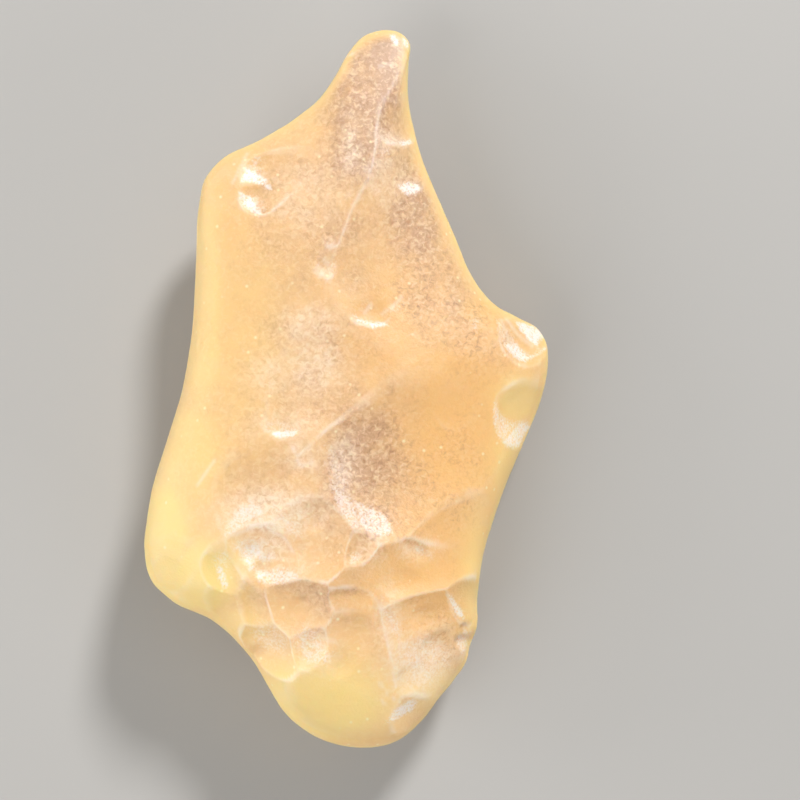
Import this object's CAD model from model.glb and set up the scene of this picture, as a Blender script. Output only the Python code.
# Libyan desert glass: a flat, wind-worn shard of natural glass, lying on its back.
# X runs across the stone, Y from its foot to its horn, Z up from what it lies on.
import math

import bmesh
import bpy
import numpy as np
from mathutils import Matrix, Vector, noise


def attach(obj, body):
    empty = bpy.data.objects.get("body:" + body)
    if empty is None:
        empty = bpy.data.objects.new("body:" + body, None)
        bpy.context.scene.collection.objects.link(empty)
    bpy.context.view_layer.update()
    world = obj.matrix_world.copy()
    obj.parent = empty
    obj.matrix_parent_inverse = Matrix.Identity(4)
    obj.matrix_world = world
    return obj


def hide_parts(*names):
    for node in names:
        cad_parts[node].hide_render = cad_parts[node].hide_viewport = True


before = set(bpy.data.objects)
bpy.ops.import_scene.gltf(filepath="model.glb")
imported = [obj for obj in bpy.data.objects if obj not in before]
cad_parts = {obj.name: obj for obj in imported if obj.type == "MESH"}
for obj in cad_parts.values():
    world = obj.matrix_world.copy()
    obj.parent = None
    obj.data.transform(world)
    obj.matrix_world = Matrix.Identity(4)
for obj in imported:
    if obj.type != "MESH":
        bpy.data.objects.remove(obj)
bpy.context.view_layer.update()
mm = 0.001  # the shapes below are in millimetres


# the one stone: its shape, its skin and its glass, in millimetres and degrees
stoneValues = {
    "frontRise": 6.4,  # crown of the front face above the rim
    "backDrop": 5.1,  # crown of the back face below it
    "restWear": 0.38,  # how much of the back's crown is worn flat
    "restRounding": 0.14,  # how far the edge of that flat is rounded
    "rimDip": 0.5,  # how far the middle of the rim hangs below its ends
    "crown": (-0.6, -2.2),  # where both faces are furthest from the rim's level
    "cornerSpread": 0.1,  # share of the outline over which its corners soften inwards
    "fullness": 2.6,  # more gives flatter faces and a blunter rim
    "crestRounding": 0.07,  # how far wind has rounded the crests
    "runOut": 3.5,  # how much softer a scar is at its run-out than at its steep wall
    "rimFade": 1.9,  # scars run out where the face is less than this above the rim
    "cells": 128,  # squares along each edge of the ball that the stone is made from
    "crowding": 1.35,  # 1 spreads them evenly over the faces, 2 crowds them at the rim
    "thinning": (0.003, 0.010),  # per millimetre to the right and towards the horn
    "rimTilt": 0.085,  # how far the rim sinks per millimetre to the right
    "rimWave": 0.35,  # how far it sways up and down
    "outline": (  # clockwise
        (1.0, 25.7), (2.8, 26.2), (3.85, 25.95), (4.45, 25.25),  # blunt tip of the horn
        # right flank, which bows inward from the horn to the shoulder
        (4.4, 23.8), (4.4, 21.0), (5.2, 17.3), (6.65, 13.65), (7.9, 10.75), (9.15, 8.0), (10.5, 6.3),
        (12.4, 5.2), (13.9, 4.35), (14.55, 3.3), (14.7, 1.7), (14.2, -0.9),  # shoulder
        # right side, narrowing to the foot, with a small notch near its end
        (13.0, -3.85), (11.7, -6.8), (10.65, -9.7), (9.8, -12.65), (9.45, -15.6), (9.35, -17.8),
        (8.9, -18.9), (8.65, -20.1), (7.75, -21.45), (6.65, -22.75),
        # rounded foot
        (5.3, -24.5), (3.5, -25.9), (0.9, -26.35), (-2.3, -25.5), (-4.7, -23.6), (-6.0, -21.5),
        (-7.0, -19.85), (-8.15, -18.45), (-9.9, -16.95), (-12.8, -15.55),  # underside of the lobe
        (-14.35, -14.05), (-14.9, -11.8), (-14.75, -9.6), (-14.2, -6.6), (-13.35, -3.85),  # lobe
        # left side, up to the corner
        (-12.1, 0.5), (-11.45, 4.9), (-11.2, 9.3), (-10.95, 13.2), (-10.5, 15.05), (-9.45, 16.35),
        # left flank, which bows inward to the horn
        (-6.35, 18.05), (-3.8, 19.7), (-2.2, 21.1), (-1.15, 22.65), (-0.2, 24.4),
    ),
    # flake scars: deepest point, reach to the steep wall, to the run-out and to either side, direction
    # of the steep wall, depth of the bed under the dome, how dished, how soft-edged
    "frontScars": (
        # slopes to the right of the long crest that runs down from the horn
        ((7.3, 16.6), 5.6, 5.6, 9.5, 180, 0.42, 0.42, 1.0),
        ((3.8, 10.0), 4.6, 5.5, 7.0, 164, 0.78, 0.70, 1.0),
        # glinting dimples of the right flank and of that crest
        ((4.0, 18.4), 0.8, 2.0, 1.4, 284, 0.86, 0.50, 1.0),
        ((4.4, 14.7), 0.8, 2.1, 1.1, 268, 0.80, 0.42, 1.0),
        ((-0.7, 10.6), 0.9, 2.4, 1.1, 240, 0.20, 0.20, 1.0),
        ((-1.5, 8.4), 0.6, 1.4, 0.8, 235, 0.26, 0.24, 1.0),
        # corner chip, in two steps
        ((-6.0, 15.1), 1.7, 3.4, 1.5, 196, 0.50, 0.50, 1.0),
        ((-6.3, 13.5), 1.4, 3.0, 1.3, 216, 0.58, 0.56, 1.0),
        # shoulder chips
        ((12.6, 3.3), 1.5, 2.6, 1.9, 222, 0.95, 0.90, 1.0),
        ((13.5, 4.0), 0.8, 1.4, 1.3, 222, 1.00, 0.42, 1.0),
        ((12.3, -2.3), 1.8, 3.0, 2.4, 215, 0.90, 0.88, 1.0),
        # soft hollows of the middle of the face
        ((-6.4, 4.4), 4.0, 5.5, 3.4, 245, 0.30, 0.30, 1.0),
        ((-1.6, 0.0), 4.0, 5.0, 4.4, 235, 0.48, 0.48, 1.0),
        ((8.0, -3.6), 4.6, 5.5, 3.4, 255, 0.60, 0.60, 1.0),
        ((1.7, 5.3), 0.6, 1.7, 1.0, 266, 0.72, 0.20, 1.2),
        ((-4.5, -2.9), 0.8, 2.4, 1.2, 266, 0.36, 0.32, 1.0),
        ((7.2, -2.4), 0.8, 1.8, 1.3, 232, 0.74, 0.30, 1.0),
        # large oval hollow
        ((2.6, -6.5), 4.4, 7.4, 5.2, 223, 1.60, 1.30, 1.5),
        # hollow above and left of the crests
        ((-5.4, -8.4), 3.3, 4.8, 4.0, 222, 0.84, 0.70, 1.6),
        # pair of hollows on the left, and the facet between them and the oval
        ((-2.3, -11.2), 2.2, 3.8, 2.7, 312, 1.45, 0.76, 0.45),
        ((-5.0, -11.9), 2.3, 2.6, 2.9, 240, 1.44, 0.90, 0.45),
        ((0.7, -11.6), 0.8, 1.1, 0.9, 250, 1.00, 0.22, 0.45),
        # shelf under the oval's lip
        ((3.7, -13.2), 1.8, 1.9, 4.4, 112, 1.36, 0.50, 1.0),
        ((6.4, -10.8), 1.9, 3.2, 2.8, 238, 1.02, 0.60, 1.0),
        # between the lobe and the broken lower part
        ((-8.6, -13.1), 1.1, 1.3, 1.5, 222, 0.62, 0.36, 1.6),
        ((-7.8, -15.6), 1.3, 1.2, 1.6, 225, 0.60, 0.30, 3.4),
        ((-6.3, -15.8), 0.8, 0.9, 1.4, 204, 1.08, 0.24, 3.6),
        ((-5.3, -18.1), 1.5, 1.6, 2.3, 225, 1.20, 0.70, 0.8),
        # broken lower part, from left to right
        ((-3.2, -15.8), 1.8, 1.6, 2.3, 52, 1.62, 0.52, 0.45),
        ((-2.4, -17.8), 1.8, 1.5, 1.5, 235, 1.62, 0.75, 0.45),
        ((-0.4, -17.0), 1.2, 4.8, 2.4, 125, 1.46, 0.46, 0.45),
        ((0.4, -14.8), 0.5, 1.2, 1.2, 95, 1.42, 0.22, 1.0),
        ((0.8, -18.8), 5.2, 3.2, 3.2, 262, 1.20, 0.52, 3.5),
        ((4.8, -16.4), 1.6, 2.6, 2.6, 98, 1.48, 0.52, 1.2),
        ((5.8, -19.0), 2.6, 3.2, 3.0, 188, 1.52, 0.66, 1.6),
        ((8.5, -15.8), 1.5, 1.5, 1.9, 224, 1.28, 0.70, 1.0),
        ((4.7, -23.1), 1.9, 1.8, 1.6, 238, 0.92, 0.62, 1.3),
        # soft dimple in the lobe
        ((-12.6, -13.1), 1.6, 2.0, 1.5, 250, 0.28, 0.28, 1.0),
    ),
    "backScars": (  # fewer and softer: this side lay in the sand
        ((-6.4, 9.0), 4.2, 7.0, 4.6, 60, 0.85, 0.85, 1.0),
        ((3.6, 11.5), 4.0, 6.4, 3.6, 105, 0.85, 0.85, 1.0),
        ((2.4, 19.4), 3.0, 4.4, 2.4, 80, 0.60, 0.60, 1.0),
        ((9.2, 1.6), 3.2, 5.4, 3.8, 130, 0.90, 0.90, 1.0),
        ((8.0, -6.6), 3.4, 5.0, 3.2, 290, 0.75, 0.75, 1.0),
        ((-9.8, -0.6), 3.8, 5.6, 3.2, 75, 0.75, 0.75, 1.0),
        ((-9.4, -10.6), 3.2, 4.8, 3.6, 120, 0.95, 0.90, 1.0),
        ((-3.8, -17.4), 3.0, 4.6, 3.6, 130, 0.90, 0.85, 1.0),
        ((4.4, -17.2), 3.2, 5.0, 3.6, 60, 0.95, 0.90, 1.0),
        ((1.0, -22.6), 2.2, 3.4, 2.8, 190, 0.60, 0.55, 1.0),
    ),
    # the fine crest from the horn, left standing where the skin beside it wore away
    "crestLine": (
        (3.9, 25.3), (3.9, 23.7), (3.6, 22.4), (2.9, 21.1), (2.3, 19.9), (2.0, 18.4), (1.95, 16.9),
        (1.7, 15.8), (1.4, 14.7), (0.7, 13.4), (0.15, 12.3), (-0.3, 11.0), (-0.7, 10.0), (-1.3, 8.7),
        (-1.6, 7.4), (-1.6, 6.2),
    ),
    "crestHeight": 0.07,
    "crestWidth": 0.13,  # of this crest and of the wisps
    "crestFoot": (5.0, 8.0),  # where it fades out, and over what length
    # shallow chips in the skin: middle, reach along and across, direction of the steep wall, depth
    "shallowChips": (
        ((2.6, -16.6), 2.2, 0.8, 100, 0.24),  # lower right
        ((4.7, -11.5), 1.3, 0.7, 325, 0.22),
        ((0.7, -17.7), 1.8, 1.2, 80, 0.22),
        ((-0.4, -19.2), 1.4, 1.1, 250, 0.19),
        ((3.6, -13.8), 1.7, 1.0, 10, 0.19),
        ((5.8, -16.4), 1.6, 0.9, 185, 0.18),
        ((6.6, -18.5), 1.5, 1.1, 200, 0.19),
        ((8.3, -18.4), 0.8, 0.6, 200, 0.29),
        ((8.6, -17.4), 0.6, 0.5, 180, 0.24),
        ((4.4, -20.8), 1.4, 1.0, 215, 0.18),
        ((-5.8, -12.6), 1.0, 0.8, 240, 0.19),  # in the pair of hollows
        ((-6.9, -11.5), 0.9, 0.7, 230, 0.19),
        ((-3.6, -11.5), 1.0, 0.8, 300, 0.14),
        ((-2.2, -9.0), 1.4, 0.9, 250, 0.19),  # above them
        ((-4.4, -6.1), 1.6, 1.0, 230, 0.11),
        ((-0.6, -5.4), 0.9, 1.7, 180, 0.12),
        ((-3.3, -15.5), 1.0, 0.8, 60, 0.14),
        ((-6.4, -19.0), 0.9, 0.7, 230, 0.18),
        ((0.5, 7.8), 1.8, 1.7, 180, 0.11),  # plate beside the foot of the long crest
        ((-6.2, 16.0), 1.2, 0.7, 215, 0.11),  # corner
        ((4.6, 3.0), 1.8, 1.0, 230, 0.08),
        ((-7.6, 1.6), 2.2, 1.4, 250, 0.08),
        ((-3.2, 5.8), 2.0, 1.3, 200, 0.08),
        ((-4.8, 10.4), 2.2, 1.2, 240, 0.08),
    ),
    # short pale scratches and wisps
    "wisps": (
        ((-3.9, -4.3), (-3.5, -4.9), (-3.0, -4.4), (-2.6, -4.1)),
        ((-3.6, -5.2), (-3.2, -5.6), (-2.5, -5.3)),
        ((-2.1, 8.6), (-1.7, 8.0), (-1.5, 7.5)),
        ((-2.4, 8.2), (-2.0, 7.7)),
        ((-1.7, 8.9), (-1.3, 8.4), (-1.2, 7.9)),
        ((2.4, 5.2), (3.2, 5.7), (3.8, 6.4)),
        ((1.2, 5.3), (1.6, 5.8)),
        ((2.1, 23.0), (2.8, 23.3), (3.2, 23.2)),
        ((3.4, 25.5), (3.7, 25.2)),
        ((4.0, 25.4), (4.0, 25.1)),
        ((-0.4, 24.0), (0.3, 24.1)),
        ((-10.6, -6.9), (-9.9, -5.9), (-9.4, -5.2)),
        ((-7.3, 16.7), (-8.2, 14.5)),
        ((11.0, 4.9), (11.6, 3.4), (12.6, 2.2)),
        ((11.4, 5.0), (12.3, 3.8), (13.4, 3.0)),
        ((-5.2, -10.2), (-4.4, -10.7), (-3.9, -11.6)),
        ((-8.6, -10.6), (-7.6, -10.3), (-6.4, -9.8), (-5.2, -10.0)),
        ((-1.6, -17.7), (-0.9, -17.9)),
        ((2.2, -15.4), (2.55, -16.6), (2.9, -18.5), (3.2, -19.9), (3.4, -21.4)),
        ((2.3, -21.0), (2.4, -21.3)),
        ((2.8, -21.6), (2.7, -21.9)),
        ((2.4, -22.3), (2.6, -22.6)),
        ((3.2, -22.1), (3.3, -22.3)),
    ),
    # soft places: centre, half width and half height, and how strongly they show
    "cloudPlaces": (
        ((1.0, 19.8), 2.6, 5.0, 1.1),  # smoky haze in the horn
        ((2.8, 22.8), 2.0, 3.2, 1.3),
        ((5.0, 12.2), 1.9, 4.0, 1.0),  # along the right flank
        ((6.2, 6.8), 2.4, 3.4, 0.8),
        ((9.4, 4.2), 3.2, 2.8, 0.55),
        ((1.6, -6.0), 3.0, 4.6, 0.95),  # over the oval hollow
        ((3.6, -8.4), 2.4, 2.2, 0.6),
        ((6.8, -6.8), 3.2, 3.4, 0.42),
        ((-2.0, 12.0), 5.0, 6.0, 0.30),
        ((-3.6, 1.0), 6.0, 5.0, 0.30),
        ((6.8, -18.6), 1.8, 2.4, 0.45),
        ((-6.0, -6.0), 4.0, 3.0, 0.28),
    ),
    # frosted patches of the chips: corners, how white they are, and over what width they fade out
    "glints": (
        # corner chip, upper and lower step
        (((-7.7, 14.5), (-7.3, 15.7), (-7.0, 15.6), (-6.4, 15.2), (-5.8, 14.8),
          (-5.3, 13.8), (-5.8, 14.0), (-6.4, 14.4), (-7.0, 14.6)), 0.9, 0.25),
        (((-7.3, 15.7), (-6.8, 16.7), (-6.1, 16.5), (-6.2, 15.8), (-5.9, 14.9), (-6.4, 15.2)), 0.5, 0.6),
        (((-7.8, 13.9), (-7.3, 13.7), (-6.8, 13.5), (-6.4, 12.8), (-5.9, 12.1),
          (-6.4, 12.2), (-6.9, 12.4), (-7.4, 12.8), (-7.7, 13.3)), 0.9, 0.25),
        (((-6.8, 13.5), (-6.1, 13.2), (-5.7, 12.4), (-5.9, 12.1), (-6.4, 12.8)), 0.5, 0.6),
        # shoulder chips
        (((12.1, 4.8), (12.7, 4.8), (13.6, 4.5), (14.2, 4.2), (14.4, 3.7),
          (13.9, 3.4), (13.8, 2.9), (13.4, 3.1), (12.9, 3.6), (12.4, 4.2)), 0.95, 0.25),
        (((10.6, 5.0), (11.2, 4.6), (11.6, 4.2), (12.0, 3.7),
          (12.2, 3.2), (11.7, 2.9), (11.1, 3.2), (10.7, 4.0)), 0.5, 0.3),
        (((11.1, 3.2), (12.2, 3.2), (12.7, 2.6), (13.3, 2.3), (13.8, 2.7), (14.4, 3.0),
          (14.6, 2.9), (13.8, 2.4), (13.1, 2.0), (12.7, 1.8), (12.2, 2.0), (11.6, 2.5)), 0.9, 0.25),
        (((10.3, -1.2), (10.6, -1.0), (10.9, -1.8), (11.7, -2.5), (12.4, -2.5),
          (11.8, -3.2), (11.2, -3.8), (10.7, -3.6), (10.4, -2.7)), 0.62, 0.25),
        (((12.4, -2.5), (13.1, -2.6), (13.4, -3.0), (12.8, -3.7), (12.5, -4.4),
          (12.1, -4.5), (11.3, -4.3), (10.7, -3.6), (11.2, -3.8), (11.8, -3.2)), 0.8, 0.35),
        (((8.9, 5.0), (9.4, 4.9), (9.2, 4.1), (8.8, 4.1)), 0.5, 0.4),
        # lower wall of the oval hollow
        (((-1.3, -6.1), (-1.0, -6.5), (-0.3, -7.2), (0.4, -8.0), (0.7, -8.8),
          (0.9, -9.9), (0.3, -9.8), (-0.3, -9.2), (-0.8, -8.1), (-1.1, -7.2)), 0.6, 0.3),
        (((0.4, -8.0), (1.6, -8.4), (2.8, -9.1), (3.2, -10.2),
          (2.5, -10.5), (1.7, -10.3), (0.9, -9.9), (0.7, -8.8)), 0.66, 0.35),
        (((-1.8, -3.7), (-0.9, -4.1), (-0.2, -5.7), (0.4, -8.0),
          (-0.3, -7.2), (-1.0, -6.5), (-1.5, -5.1)), 0.42, 0.9),
        # pair of hollows
        (((-8.2, -11.1), (-7.2, -10.6), (-6.0, -10.8),
          (-6.3, -11.0), (-7.2, -11.2), (-7.5, -11.8)), 0.5, 0.5),
        (((-7.5, -11.8), (-7.2, -11.2), (-6.3, -11.0), (-5.8, -11.6), (-5.0, -12.1),
          (-6.0, -12.3), (-6.6, -12.1), (-6.3, -12.8), (-6.9, -12.9)), 0.7, 0.4),
        (((-6.6, -12.9), (-5.6, -12.8), (-4.6, -12.6), (-3.4, -13.1),
          (-3.5, -13.6), (-4.4, -13.9), (-5.2, -14.0), (-6.3, -13.7)), 0.7, 0.35),
        (((-9.3, -12.6), (-8.8, -12.7), (-8.4, -14.0), (-8.7, -14.3), (-9.1, -13.5)), 0.85, 0.25),
        (((-9.5, -11.9), (-8.6, -11.4), (-8.2, -11.9),
          (-8.5, -12.9), (-8.8, -12.7), (-9.3, -12.6)), 0.45, 0.5),
        # above the pair of hollows
        (((-8.8, -10.4), (-8.2, -9.2), (-7.6, -8.4), (-6.7, -8.1), (-5.9, -8.4),
          (-5.9, -8.9), (-7.0, -9.6), (-8.1, -10.4), (-8.6, -10.9)), 0.62, 0.5),
        (((-5.6, -9.2), (-4.5, -8.9), (-3.6, -9.5), (-3.2, -10.6), (-3.9, -10.4), (-4.5, -9.5)), 0.5, 0.5),
        (((0.2, -11.6), (1.0, -11.6), (0.9, -12.1), (0.2, -12.4)), 0.6, 0.3),
        # facets of the lower part
        (((-3.2, -16.8), (-2.7, -16.7), (-2.1, -17.3), (-1.8, -18.0), (-0.9, -18.8),
          (-1.4, -19.5), (-2.9, -19.5), (-3.4, -18.5), (-3.9, -17.9)), 0.55, 0.7),
        (((-6.9, -17.1), (-6.3, -16.5), (-4.8, -16.6), (-4.1, -17.8),
          (-4.6, -18.9), (-5.9, -18.7), (-6.7, -18.0)), 0.42, 0.8),
        (((2.3, -15.2), (3.4, -16.1), (3.9, -17.3), (3.4, -18.0), (2.7, -16.3)), 0.5, 0.6),
        (((3.2, -18.0), (5.8, -17.5), (7.6, -19.0), (7.4, -20.5),
          (5.6, -21.7), (4.4, -21.6), (3.6, -20.0)), 0.42, 1.4),
        (((7.0, -14.6), (7.5, -15.0), (8.3, -16.2), (8.4, -16.8), (7.8, -16.4), (7.2, -15.3)), 0.85, 0.3),
        (((7.8, -18.0), (8.6, -17.5), (9.0, -17.9), (8.4, -19.9), (8.1, -19.3)), 0.6, 0.4),
        (((2.6, -24.1), (3.2, -23.1), (4.4, -22.4), (5.0, -22.4), (4.8, -23.2), (3.4, -23.9)), 0.8, 0.3),
        (((4.4, -11.2), (5.3, -11.3), (6.1, -12.1), (5.8, -12.2), (4.9, -11.8)), 0.5, 0.5),
        # right flank
        (((2.9, 17.6), (3.7, 17.7), (4.5, 18.0), (4.7, 17.7), (4.0, 17.2), (3.6, 17.4)), 0.9, 0.25),
        (((2.1, 16.6), (2.9, 17.1), (3.5, 16.9), (2.8, 16.5)), 0.5, 0.4),
        (((3.5, 14.4), (4.2, 14.8), (5.0, 14.7), (5.2, 14.2),
          (4.8, 13.8), (4.2, 13.7), (3.8, 13.9)), 0.9, 0.25),
        # tip of the horn
        (((2.9, 25.7), (3.3, 25.7), (3.6, 25.2), (3.7, 24.8), (3.3, 24.7), (3.0, 25.2)), 1.0, 0.2),
        (((3.8, 25.5), (4.2, 25.4), (4.4, 25.0), (4.3, 24.6), (3.9, 24.7)), 0.95, 0.2),
        # middle of the face
        (((0.4, 5.1), (1.3, 4.7), (2.5, 4.6), (2.9, 4.4), (1.8, 4.1), (1.2, 4.4), (0.7, 4.5)), 0.9, 0.25),
        (((2.3, 5.2), (3.1, 5.6), (4.0, 5.9), (3.5, 5.4), (2.7, 5.1)), 0.5, 0.4),
        (((-5.5, -3.3), (-4.8, -3.0), (-3.1, -3.0), (-3.9, -3.5), (-4.8, -3.6)), 0.9, 0.25),
        (((-6.3, -2.6), (-5.1, -2.3), (-4.0, -2.6), (-3.1, -3.0), (-4.8, -3.0), (-5.6, -3.3)), 0.4, 0.6),
        (((-1.7, 8.7), (-1.2, 9.0), (-0.8, 8.7), (-1.0, 8.1), (-1.5, 8.1)), 0.5, 0.5),
    ),
    "leeSmoke": 0.42,  # smoke on the walls that are turned away from this direction
    "leeFrom": (0.45, 0.85, 0.0),
    "milkPlaces": (
        ((-2.4, 1.6), 1.9, 1.9, 0.6),  # patches in the middle of the face
        ((-5.4, 0.8), 1.4, 1.2, 0.4),
        ((-4.4, -2.6), 2.2, 1.0, 0.4),
        ((-3.2, -4.8), 1.2, 1.2, 0.5),
        ((-0.3, -5.2), 1.0, 1.6, 0.6),
        ((-2.8, 13.6), 2.4, 2.4, 0.3),
        ((2.6, 14.6), 1.4, 1.6, 0.4),
        ((-5.4, -8.9), 3.2, 1.6, 0.9),  # above the pair of hollows
        ((-6.0, -11.4), 1.7, 1.0, 0.8),
        ((-2.6, 4.2), 1.9, 1.5, 0.5),
        ((0.15, 16.9), 0.6, 1.5, 0.7),  # beside the long crest
        ((2.7, 17.7), 0.9, 0.6, 0.6),
        ((-4.8, -12.0), 2.8, 1.6, 0.35),
        ((1.6, -11.2), 1.0, 1.2, 0.5),
        ((-2.2, -18.4), 1.7, 1.9, 0.3),  # facets of the lower part
        ((2.9, -16.4), 0.8, 2.6, 0.5),
        ((4.8, -19.6), 2.4, 2.8, 0.5),
        ((5.0, -11.4), 1.5, 0.9, 0.4),
    ),
    "warmPlaces": (
        ((8.8, -3.4), 4.8, 8.0, 1.0),  # clear honey on the right
        ((8.4, -10.2), 4.0, 5.0, 1.0),
        ((6.4, -12.2), 5.0, 4.4, 0.9),
        ((6.4, -16.6), 3.0, 2.6, 1.0),
        ((9.8, 5.2), 2.0, 1.4, 0.8),
        ((4.6, 5.0), 3.4, 4.0, 0.6),
        ((3.0, 3.4), 4.0, 2.6, 0.5),
        ((-8.4, 8.0), 2.4, 8.0, 0.3),
    ),
    "brightPlaces": (
        ((-12.0, -15.0), 2.2, 1.6, 0.9),
        ((-10.2, -13.2), 2.8, 2.6, 1.0),
        ((12.4, -0.8), 1.7, 1.7, 0.7),
        ((9.6, -14.0), 1.4, 5.0, 0.6),
        ((11.8, -6.4), 1.5, 4.0, 0.6),
        ((6.4, -22.2), 2.4, 1.8, 0.6),
        ((-13.4, -11.0), 2.6, 5.0, 0.9),  # thin glowing lobe
        ((-11.6, -4.6), 3.0, 3.6, 0.6),
        ((-10.2, -14.6), 1.9, 1.7, 0.9),
        ((-2.2, -22.6), 5.4, 3.2, 0.9),  # foot
        ((-10.6, 6.0), 1.8, 9.0, 0.6),  # left edge
        ((-7.8, 3.0), 3.2, 8.0, 0.3),
        ((-8.8, -17.0), 3.0, 1.6, 0.6),
    ),
    "edgeGlow": ((0.25, 3.0), (0.6, 0.7)),  # how strong, and how far in from the rim
    "crestBend": 0.012,  # how far a crest stands out where it is whitest
    # what desert wind has done to the skin
    "seed": 7,
    "pitCount": 420,
    "pitRadius": (0.22, 0.60),
    "pitDepth": (0.010, 0.045),
    "swellSize": 2.6,  # soft orange-peel swells
    "swellHeight": 0.035,
    "rippleSize": 0.8,
    "rippleHeight": 0.016,
    # the glass and its colours
    "honey": "#efc791",
    "warmHoney": "#f4c37c",
    "cream": "#ffe095",
    "smoke": "#cfa988",
    "darkSmoke": "#bb906c",
    "paleFleck": "#fbe2bd",
    "milk": "#ffecd4",
    "frost": "#fff7f0",
    "speck": "#fff2cc",
    "ior": 1.46,  # like fused silica
    "clearness": 0.25,  # share of the light that goes straight through
    "roughness": 0.50,  # of the wind-blown skin
    "glintRoughness": 0.34,  # of the chips, whose fresher faces still glint
    "glow": 0.55,  # share of the rest that wanders inside the milky glass
    "glowReach": 0.55,
    "glowTint": (1.0, 0.62, 0.32),
    "cloudSize": 2.4,  # drifting haze
    "raggedness": 0.45,  # how far that haze breaks up the painted places
    "deepSmoke": 0.6,  # how much darker the thickest smoke is
    "warmth": 0.8,
    "mottleSize": 0.36,  # worm-like marks
    "paleMarks": (0.50, 0.66, 0.65),  # noise where they begin and are full, and how strong
    "darkMarks": (0.48, 0.32),
    "milkMarks": (0.36, 0.62, 0.25),  # the last is the milk left between the marks
    "frostMarks": (0.50, 0.74),
    "frostPush": 0.26,
    "crestWhite": 0.5,
    "grainSize": 0.17,  # grit marks are nearer 0.05 and are drawn as coarse as they can show
    "grainDepth": 0.035,
    "speckSpacing": 1.3,  # tiny white bubbles and mineral grains
    "speckRadius": 0.16,
    "speckShare": 0.8,  # share of the places, this far apart, that have one
}


def closedCurve(corners, stepsPerSpan=16):
    # a smooth closed curve through the corners
    here = np.array(corners)
    after = np.roll(here, -1, axis=0)
    span = np.linalg.norm(after - here, axis=1, keepdims=True)
    slopeAfter = (after - here) / span
    slopeBefore = np.roll(slopeAfter, 1, axis=0)
    spanBefore = np.roll(span, 1, axis=0)
    tangent = (slopeAfter * spanBefore + slopeBefore * span) / (span + spanBefore)
    tangentAfter = np.roll(tangent, -1, axis=0)
    pieces = []
    for t in np.arange(stepsPerSpan) / stepsPerSpan:
        pieces.append(
            (2 * t**3 - 3 * t**2 + 1) * here
            + (t**3 - 2 * t**2 + t) * span * tangent
            + (3 * t**2 - 2 * t**3) * after
            + (t**3 - t**2) * span * tangentAfter
        )
    return np.stack(pieces, axis=1).reshape(-1, 2)


def rimPoints(turns):
    # the rim's points at these shares of the way round
    curve = closedCurve(stoneValues["outline"])
    curve = np.vstack([curve, curve[:1]])
    length = np.concatenate([[0.0], np.cumsum(np.linalg.norm(np.diff(curve, axis=0), axis=1))])
    along = (turns % 1.0) * length[-1]
    return np.stack([np.interp(along, length, curve[:, i]) for i in (0, 1)], axis=1)


def contourPoints(turns, outward):
    # rings that nest from the crown out to the rim and lose its corners further in
    crown = np.array(stoneValues["crown"])
    spread = stoneValues["cornerSpread"]
    rim = rimPoints(turns)
    softRim = np.mean([rimPoints(turns + shift) for shift in np.linspace(-spread, spread, 9)], axis=0)
    sharpness = (outward**2)[:, None]
    ring = sharpness * rim + (1.0 - sharpness) * softRim
    return crown + outward[:, None] * (ring - crown)


def smoothMax(a, b, width):
    # the larger of a and b, with the corner between them rounded
    mix = np.clip(0.5 + 0.5 * (a - b) / width, 0.0, 1.0)
    return b + (a - b) * mix + width * mix * (1.0 - mix)


def scarDepth(scars, xy):
    # how far the scars are pressed in; where two overlap, the deeper one shows
    values = stoneValues
    deepest = np.zeros(len(xy))
    for at, steep, run, wide, turn, bed, hollow, soft in scars:
        angle = math.radians(turn)
        off = xy - np.array(at)
        along = off[:, 0] * math.cos(angle) + off[:, 1] * math.sin(angle)
        across = (off[:, 1] * math.cos(angle) - off[:, 0] * math.sin(angle)) / wide
        along = along / np.where(along > 0, steep, run)
        bowl = bed - hollow * (along**2 + across**2)
        width = values["crestRounding"] * soft * (1 + values["runOut"] * np.clip(-along, 0, 1))
        deepest = smoothMax(deepest, bowl, width)
    return deepest


def stonePoints(ball):
    # moves the points of a unit ball to the surface of the stone
    values = stoneValues
    fullness = values["fullness"]
    outward = np.sqrt(1.0 - np.clip(np.abs(ball[:, 2]), 0, 1) ** values["crowding"])
    turns = 0.25 - np.arctan2(ball[:, 1], ball[:, 0]) / (2 * math.pi)
    xy = contourPoints(turns, outward)
    x, y = xy[:, 0], xy[:, 1]
    toRight, toHorn = values["thinning"]
    swell = 1.0 - toHorn * (y + 2.0) - toRight * x
    dome = np.clip(1.0 - outward**fullness, 0, 1) ** (1 / fullness) * swell
    rimHeight = values["backDrop"] + values["rimDip"] - values["restWear"]
    dip = values["rimDip"] * np.sin(0.16 * y - 1.6)
    wave = values["rimWave"] * np.sin(0.23 * x - 0.11 * y)
    level = rimHeight + dip - values["rimTilt"] * x + wave
    rise, drop = values["frontRise"] * dome, values["backDrop"] * dome
    front = rise - scarDepth(values["frontScars"], xy) * np.clip(rise / values["rimFade"], 0, 1)
    back = drop - scarDepth(values["backScars"], xy) * np.clip(drop / values["rimFade"], 0, 1)
    height = np.where(ball[:, 2] >= 0, level + front, level - back)
    return np.column_stack([xy, smoothMax(height, 0.0, values["restRounding"])]), outward


def fractal(points, size, octaves):
    # soft noise between about -1 and 1, with this size in millimetres
    return np.array([noise.fractal(Vector(p) / size, 1.0, 2.0, octaves) for p in points])


def besideLine(points, line):
    # distance of each point from a line through these corners, seen from above
    nearest = np.full(len(points), 99.0)
    for start, end in zip(np.array(line)[:-1], np.array(line)[1:]):
        span = end - start
        share = np.clip(((points[:, :2] - start) @ span) / (span @ span), 0, 1)
        away = points[:, :2] - start - share[:, None] * span
        nearest = np.minimum(nearest, np.linalg.norm(away, axis=1))
    return nearest


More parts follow.
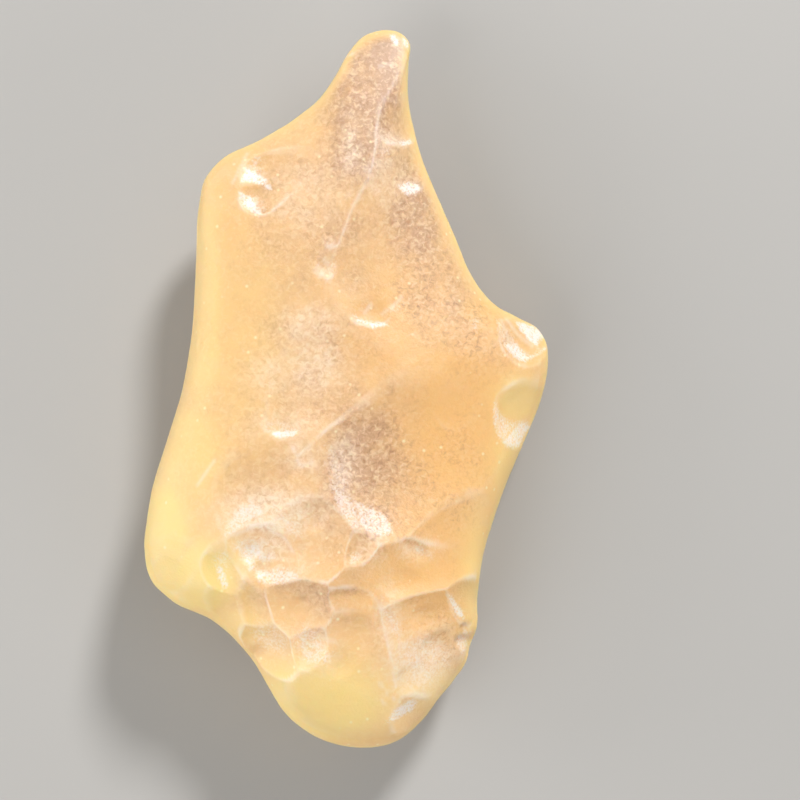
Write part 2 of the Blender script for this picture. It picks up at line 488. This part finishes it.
def wispStrength(points, normals):
    # scratches and wisps, on the front alone
    nearest = np.min([besideLine(points, line) for line in stoneValues["wisps"]], axis=0)
    return np.exp(-((nearest / stoneValues["crestWidth"]) ** 2)) * (normals[:, 2] > 0)


def crestStrength(points, normals):
    # the fine crest fades towards its foot and shows on the front alone
    values = stoneValues
    strength = np.exp(-((besideLine(points, values["crestLine"]) / values["crestWidth"]) ** 2))
    foot, fade = values["crestFoot"]
    return strength * np.clip((points[:, 1] - foot) / fade, 0, 1) * (normals[:, 2] > 0)


def chipDepth(points, normals):
    # shallow bowls with crisp borders, on the front alone
    depth = np.zeros(len(points))
    for at, reach, wide, turn, most in stoneValues["shallowChips"]:
        angle = math.radians(turn)
        off = points[:, :2] - np.array(at)
        along = (off[:, 0] * math.cos(angle) + off[:, 1] * math.sin(angle)) / reach
        across = (off[:, 1] * math.cos(angle) - off[:, 0] * math.sin(angle)) / wide
        depth = np.maximum(depth, most * np.clip(1 - along**2 - across**2, 0, 1) * (1 + 0.6 * along))
    return depth * (normals[:, 2] > 0)


def wearSkin(points, normals):
    # presses swells, ripples and small pits into the surface, never above it
    values = stoneValues
    rng = np.random.default_rng(values["seed"])
    depth = values["swellHeight"] * (1 + fractal(points, values["swellSize"], 2))
    depth = depth + values["rippleHeight"] * (1 + fractal(points + 40.0, values["rippleSize"], 3))
    for at in rng.choice(len(points), values["pitCount"], replace=False):
        radius = rng.uniform(*values["pitRadius"])
        pit = rng.uniform(*values["pitDepth"])
        distance = np.linalg.norm(points - points[at], axis=1) / radius
        near = distance < 1
        depth[near] += pit * (1 - distance[near] ** 2) ** 2
    depth = depth + values["crestHeight"] * (1 - crestStrength(points, normals))
    depth = depth + chipDepth(points, normals)
    free = np.clip(points[:, 2] / 0.4, 0, 1)  # the resting flat stays flat
    return points - normals * (np.clip(depth, 0, None) * free)[:, None]


def softSpots(points, places):
    # how strongly these places show at each point
    strength = np.zeros(len(points))
    for (x, y), wide, high, most in places:
        distance = ((points[:, 0] - x) / wide) ** 2 + ((points[:, 1] - y) / high) ** 2
        strength = np.maximum(strength, most * np.clip(1.5 * np.exp(-distance), 0, 1))
    return strength


def storeValues(mesh, name, values):
    # one number for each vertex, which the material reads by this name
    layer = mesh.attributes.new(name, "FLOAT", "POINT")
    layer.data.foreach_set("value", np.ascontiguousarray(values, dtype=np.float32))


def glintStrength(points, normals):
    # how white the frosted patches are at each point, on the front alone
    strength = np.zeros(len(points))
    x, y = points[:, 0], points[:, 1]
    for corners, most, edge in stoneValues["glints"]:
        inside = np.zeros(len(points), dtype=bool)
        loop = corners + corners[:1]
        for (ax, ay), (bx, by) in zip(loop, corners[1:] + corners[:1]):
            crosses = (ay > y) != (by > y)
            inside ^= crosses & (x < ax + (y - ay) * (bx - ax) / (by - ay if by != ay else 1.0))
        reach = besideLine(points, loop) * np.where(inside, 1, -1)
        strength = np.maximum(strength, most * np.clip(0.5 + reach / edge, 0, 1))
    return strength * (normals[:, 2] > 0)


def paintStone(mesh, points, normals, outward):
    # the values that the glass takes its colours from
    values = stoneValues
    edges = np.array([e.vertices[:] for e in mesh.edges])
    total = np.zeros((len(points), 3))
    count = np.zeros(len(points))
    for a, b in ((0, 1), (1, 0)):
        np.add.at(total, edges[:, a], points[edges[:, b]])
        np.add.at(count, edges[:, a], 1)
    # a point on a crest stands out beyond the middle of its neighbours
    bend = np.einsum("ij,ij->i", points - total / count[:, None], normals)
    crest = np.clip(bend / values["crestBend"], 0, 1) * (outward < 0.97)
    patchy = np.clip(0.6 + 0.9 * fractal(points, 1.8, 2), 0.15, 1)
    paleLines = np.maximum(0.7 * crestStrength(points, normals), 0.7 * wispStrength(points, normals))
    storeValues(mesh, "crest", np.maximum(0.8 * crest * patchy, paleLines))

    # smoke gathers in the painted places and on the lee walls, and stops short of the rim
    front = normals[:, 2] > 0
    inside = besideLine(points, closedCurve(values["outline"], 4))
    turnedAway = np.clip((-(normals @ np.array(values["leeFrom"])) - 0.12) / 0.3, 0, 1)
    wellInside = np.clip((inside - 2.0) / 2.5, 0, 1)
    lee = values["leeSmoke"] * (turnedAway * wellInside) * front
    cloud = np.maximum(softSpots(points, values["cloudPlaces"]), lee) * np.clip((inside - 0.4) / 0.7, 0, 1)
    storeValues(mesh, "cloud", cloud)

    # light comes through the thin edge, widely and softly and once more right at the rim
    (wideMost, wideReach), (rimMost, rimReach) = values["edgeGlow"]
    edgeGlow = wideMost * np.clip(1 - inside / wideReach, 0, 1)
    edgeGlow = edgeGlow + rimMost * np.clip(1 - inside / rimReach, 0, 1) ** 1.5
    edgeGlow = edgeGlow * (1 - 0.85 * cloud)
    storeValues(mesh, "thin", np.maximum(edgeGlow, softSpots(points, values["brightPlaces"])))
    storeValues(mesh, "warm", softSpots(points, values["warmPlaces"]))
    storeValues(mesh, "milk", softSpots(points, values["milkPlaces"]) * front)
    storeValues(mesh, "frost", glintStrength(points, normals))


def buildStone():
    shape = bmesh.new()
    bmesh.ops.create_cube(shape, size=2.0)
    cuts = stoneValues["cells"] - 1
    bmesh.ops.subdivide_edges(shape, edges=shape.edges[:], cuts=cuts, use_grid_fill=True)
    cube = np.array([v.co[:] for v in shape.verts])
    spread = np.tan(cube * math.pi / 4)
    ball = spread / np.linalg.norm(spread, axis=1, keepdims=True)
    points, outward = stonePoints(ball)
    for vert, point in zip(shape.verts, points):
        vert.co = point
    bmesh.ops.recalc_face_normals(shape, faces=shape.faces[:])
    shape.normal_update()
    normals = np.array([v.normal[:] for v in shape.verts])
    for vert, point in zip(shape.verts, wearSkin(points, normals)):
        vert.co = point * mm
    mesh = bpy.data.meshes.new("wornStone")
    shape.to_mesh(mesh)
    shape.free()
    mesh.shade_smooth()
    paintStone(mesh, points, normals, outward)
    stone = bpy.data.objects.new("wornStone", mesh)
    bpy.context.scene.collection.objects.link(stone)
    return stone


def toLinear(hexColour):
    # sRGB hex to the linear colour that the shaders take
    parts = [int(hexColour[i : i + 2], 16) / 255 for i in (1, 3, 5)]
    return tuple(c / 12.92 if c <= 0.04045 else ((c + 0.055) / 1.055) ** 2.4 for c in parts) + (1.0,)


def addNode(tree, kind, settings, links=None, out=0):
    # adds a node: capital names and numbers are sockets, the rest are its settings; gives one output
    node = tree.nodes.new(kind)
    for name, value in settings.items():
        if isinstance(name, int) or name[0].isupper():
            node.inputs[name].default_value = value
        else:
            setattr(node, name, value)
    for name, source in (links or {}).items():
        tree.links.new(source, node.inputs[name])
    return node.outputs[out]


def wornDesertGlass():
    # silica glass, melted and cooled in the ground: milky with tiny bubbles, so light glows inside it.
    # Blown sand has frosted its skin, which gives a fine matt grain, whiter on crests and fresh chips.
    look = stoneValues
    material = bpy.data.materials.new("wornDesertGlass")
    material.use_nodes = True
    tree = material.node_tree
    tree.nodes.clear()
    mixRgb = {"data_type": "RGBA", "clamp_factor": True}
    place = addNode(tree, "ShaderNodeTexCoord", {}, out=3)
    shown = {
        name: addNode(tree, "ShaderNodeAttribute", {"attribute_name": name}, out=2)
        for name in ("crest", "thin", "cloud", "warm", "milk", "frost")
    }

    # noise at three sizes: drifting clouds, worm-like mottling and grit marks
    drift = addNode(
        tree, "ShaderNodeTexNoise",
        {"Scale": 1 / (look["cloudSize"] * mm), "Detail": 6.0, "Roughness": 0.62}, {"Vector": place},
    )
    mottle = addNode(
        tree, "ShaderNodeTexNoise",
        {"Scale": 1 / (look["mottleSize"] * mm), "Detail": 4.0, "Roughness": 0.6, "Distortion": 0.7},
        {"Vector": place},
    )
    grain = addNode(
        tree, "ShaderNodeTexNoise",
        {"Scale": 1 / (look["grainSize"] * mm), "Detail": 2.0, "Roughness": 0.6}, {"Vector": place},
    )

    # ragged smoke: the painted places, broken up by the drifting noise
    raggedness = addNode(
        tree, "ShaderNodeMapRange",
        {
            "clamp": False, "From Min": 0.3, "From Max": 0.7,
            "To Min": -look["raggedness"], "To Max": look["raggedness"],
        },
        {"Value": drift},
    )
    smokeReach = addNode(tree, "ShaderNodeMath", {"operation": "ADD", 1: 0.45}, {0: shown["cloud"]})
    smoke = addNode(
        tree, "ShaderNodeMath", {"operation": "MULTIPLY_ADD", "use_clamp": True},
        {0: raggedness, 1: smokeReach, 2: shown["cloud"]},
    )
    colour = addNode(
        tree, "ShaderNodeMix", {**mixRgb, 6: toLinear(look["honey"]), 7: toLinear(look["smoke"])},
        {0: smoke}, 2,
    )
    deepShare = addNode(
        tree, "ShaderNodeMapRange",
        {"From Min": 1.0, "From Max": 1.5, "To Max": look["deepSmoke"]}, {"Value": shown["cloud"]},
    )
    colour = addNode(
        tree, "ShaderNodeMix", {**mixRgb, 7: toLinear(look["darkSmoke"])}, {0: deepShare, 6: colour}, 2
    )
    warmShare = addNode(
        tree, "ShaderNodeMath", {"operation": "MULTIPLY", 1: look["warmth"]}, {0: shown["warm"]}
    )
    colour = addNode(
        tree, "ShaderNodeMix", {**mixRgb, 7: toLinear(look["warmHoney"])}, {0: warmShare, 6: colour}, 2
    )

    # pale worm marks everywhere, dark ones only in the smoke
    begin, full, most = look["paleMarks"]
    paleMarks = addNode(
        tree, "ShaderNodeMapRange", {"From Min": begin, "From Max": full, "To Max": most}, {"Value": mottle}
    )
    paleReach = addNode(tree, "ShaderNodeMapRange", {"To Min": 0.45, "To Max": 1.0}, {"Value": smoke})
    paleReach = addNode(
        tree, "ShaderNodeMath", {"operation": "MULTIPLY_ADD", "use_clamp": True, 1: -0.35},
        {0: shown["warm"], 2: paleReach},
    )
    paleShare = addNode(tree, "ShaderNodeMath", {"operation": "MULTIPLY"}, {0: paleMarks, 1: paleReach})
    colour = addNode(
        tree, "ShaderNodeMix", {**mixRgb, 7: toLinear(look["paleFleck"])}, {0: paleShare, 6: colour}, 2
    )
    begin, full = look["darkMarks"]
    darkMarks = addNode(
        tree, "ShaderNodeMapRange", {"From Min": begin, "From Max": full}, {"Value": mottle}
    )
    darkShare = addNode(tree, "ShaderNodeMath", {"operation": "MULTIPLY"}, {0: darkMarks, 1: smoke})
    colour = addNode(
        tree, "ShaderNodeMix", {**mixRgb, 7: toLinear(look["darkSmoke"])}, {0: darkShare, 6: colour}, 2
    )

    # thin edges glow cream, milky patches are broken up by the mottling
    colour = addNode(
        tree, "ShaderNodeMix", {**mixRgb, 7: toLinear(look["cream"])}, {0: shown["thin"], 6: colour}, 2
    )
    begin, full, least = look["milkMarks"]
    milkMarks = addNode(
        tree, "ShaderNodeMapRange",
        {"From Min": begin, "From Max": full, "To Min": least}, {"Value": mottle},
    )
    milkShare = addNode(tree, "ShaderNodeMath", {"operation": "MULTIPLY"}, {0: milkMarks, 1: shown["milk"]})
    colour = addNode(
        tree, "ShaderNodeMix", {**mixRgb, 7: toLinear(look["milk"])}, {0: milkShare, 6: colour}, 2
    )

    # crests and fresh chips are frosted white, grain by grain where the frost is faint
    begin, full = look["frostMarks"]
    frostReach = addNode(
        tree, "ShaderNodeMath", {"operation": "MULTIPLY_ADD", 1: look["frostPush"]},
        {0: shown["frost"], 2: grain},
    )
    frostGrain = addNode(
        tree, "ShaderNodeMapRange", {"From Min": begin, "From Max": full}, {"Value": frostReach}
    )
    frostShare = addNode(
        tree, "ShaderNodeMath", {"operation": "MULTIPLY"}, {0: frostGrain, 1: shown["frost"]}
    )
    crestShare = addNode(
        tree, "ShaderNodeMath", {"operation": "MULTIPLY", 1: look["crestWhite"]}, {0: shown["crest"]}
    )
    whiteShare = addNode(tree, "ShaderNodeMath", {"operation": "MAXIMUM"}, {0: frostShare, 1: crestShare})
    colour = addNode(
        tree, "ShaderNodeMix", {**mixRgb, 7: toLinear(look["frost"])}, {0: whiteShare, 6: colour}, 2
    )

    # a few white specks: grains and bubbles caught in the glass
    cellSettings = {"Scale": 1 / (look["speckSpacing"] * mm), "Randomness": 1.0}
    speckDistance = addNode(tree, "ShaderNodeTexVoronoi", cellSettings, {"Vector": place})
    speckChance = addNode(tree, "ShaderNodeTexVoronoi", cellSettings, {"Vector": place}, 1)
    speckLuck = addNode(
        tree, "ShaderNodeMath", {"operation": "LESS_THAN", 1: look["speckShare"]}, {0: speckChance}
    )
    speckCore = addNode(
        tree, "ShaderNodeMapRange",
        {"From Min": look["speckRadius"] / look["speckSpacing"], "From Max": 0.0}, {"Value": speckDistance},
    )
    speckWhite = addNode(tree, "ShaderNodeMath", {"operation": "MULTIPLY"}, {0: speckLuck, 1: speckCore})
    colour = addNode(
        tree, "ShaderNodeMix", {**mixRgb, 7: toLinear(look["speck"])}, {0: speckWhite, 6: colour}, 2
    )

    # the grain catches the light in points, most of all on the chips
    roughness = addNode(
        tree, "ShaderNodeMapRange",
        {"To Min": look["roughness"], "To Max": look["glintRoughness"]}, {"Value": shown["frost"]},
    )
    bump = addNode(
        tree, "ShaderNodeBump", {"Strength": 1.0, "Distance": look["grainDepth"] * mm}, {"Height": grain}
    )
    shader = addNode(
        tree, "ShaderNodeBsdfPrincipled",
        {
            "IOR": look["ior"],
            "Transmission Weight": look["clearness"],
            "Subsurface Weight": look["glow"],
            "Subsurface Scale": look["glowReach"] * mm,
            "Subsurface Radius": look["glowTint"],
        },
        {"Base Color": colour, "Roughness": roughness, "Normal": bump},
    )
    output = tree.nodes.new("ShaderNodeOutputMaterial")
    tree.links.new(shader, output.inputs["Surface"])
    return material


stone = buildStone()
print("stone shaped:", len(stone.data.polygons), "faces")
stone.data.materials.append(wornDesertGlass())
print("glass made")
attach(stone, "root")
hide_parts("desert_glass")


# the floor, the lights and the camera of the studio, in metres and watts
studio = {
    "floorColour": "#a8a6a3",
    "floorRoughness": 0.8,
    "floorReach": 0.6,
    "floorDrop": 0.00002,  # just under the stone
    "keyPower": 2.75,
    "keySize": 0.10,  # small enough for crisp glints
    "keyFrom": (0.17, 0.37, 0.30),
    "fillPower": 1.8,
    "fillSize": 0.5,
    "fillFrom": (-0.34, -0.26, 0.28),
    "sideLights": ((-0.55, 0.06, 0.15), (0.48, -0.32, 0.15)),  # low, to light the thin rim
    "sidePower": 1.1,
    "sideSize": 0.3,
    "skyColour": "#f0eeea",
    "skyStrength": 0.35,
    "cameraAt": (0.00365, -0.00095, 0.1433),  # straight above the stone, which fills the frame
    "lens": 85.0,
}


def mattPaper():
    # backdrop paper: pulp rolled into an even sheet and left uncoated, so it looks flat and has no gloss
    material = bpy.data.materials.new("mattPaper")
    material.use_nodes = True
    shader = material.node_tree.nodes["Principled BSDF"]
    shader.inputs["Base Color"].default_value = toLinear(studio["floorColour"])
    shader.inputs["Roughness"].default_value = studio["floorRoughness"]
    return material


def buildFloor():
    shape = bmesh.new()
    bmesh.ops.create_grid(shape, x_segments=1, y_segments=1, size=studio["floorReach"])
    mesh = bpy.data.meshes.new("studioFloor")
    shape.to_mesh(mesh)
    shape.free()
    mesh.materials.append(mattPaper())
    floor = bpy.data.objects.new("studioFloor", mesh)
    floor.location.z = -studio["floorDrop"]
    bpy.context.scene.collection.objects.link(floor)


def addLight(name, at, size, power):
    # a soft round lamp that points at the stone
    light = bpy.data.lights.new(name, "AREA")
    light.shape = "DISK"
    light.size = size
    light.energy = power
    lamp = bpy.data.objects.new(name, light)
    lamp.location = at
    lamp.rotation_euler = (-Vector(at)).to_track_quat("-Z", "Y").to_euler()
    lamp.visible_camera = False
    bpy.context.scene.collection.objects.link(lamp)


def buildStudio():
    buildFloor()
    addLight("keyLight", studio["keyFrom"], studio["keySize"], studio["keyPower"])
    addLight("fillLight", studio["fillFrom"], studio["fillSize"], studio["fillPower"])
    for name, at in zip(("leftLight", "rightLight"), studio["sideLights"]):
        addLight(name, at, studio["sideSize"], studio["sidePower"])
    world = bpy.data.worlds.new("studioSky")
    world.use_nodes = True
    background = world.node_tree.nodes["Background"]
    background.inputs["Color"].default_value = toLinear(studio["skyColour"])
    background.inputs["Strength"].default_value = studio["skyStrength"]
    bpy.context.scene.world = world
    camera = bpy.data.cameras.new("studioCamera")
    camera.lens = studio["lens"]
    camera.clip_start = 0.005
    viewer = bpy.data.objects.new("studioCamera", camera)
    viewer.location = studio["cameraAt"]
    bpy.context.scene.collection.objects.link(viewer)
    bpy.context.scene.camera = viewer
    bpy.context.scene.view_settings.view_transform = "Standard"  # keeps the honey colour bright


buildStudio()
print("studio built")
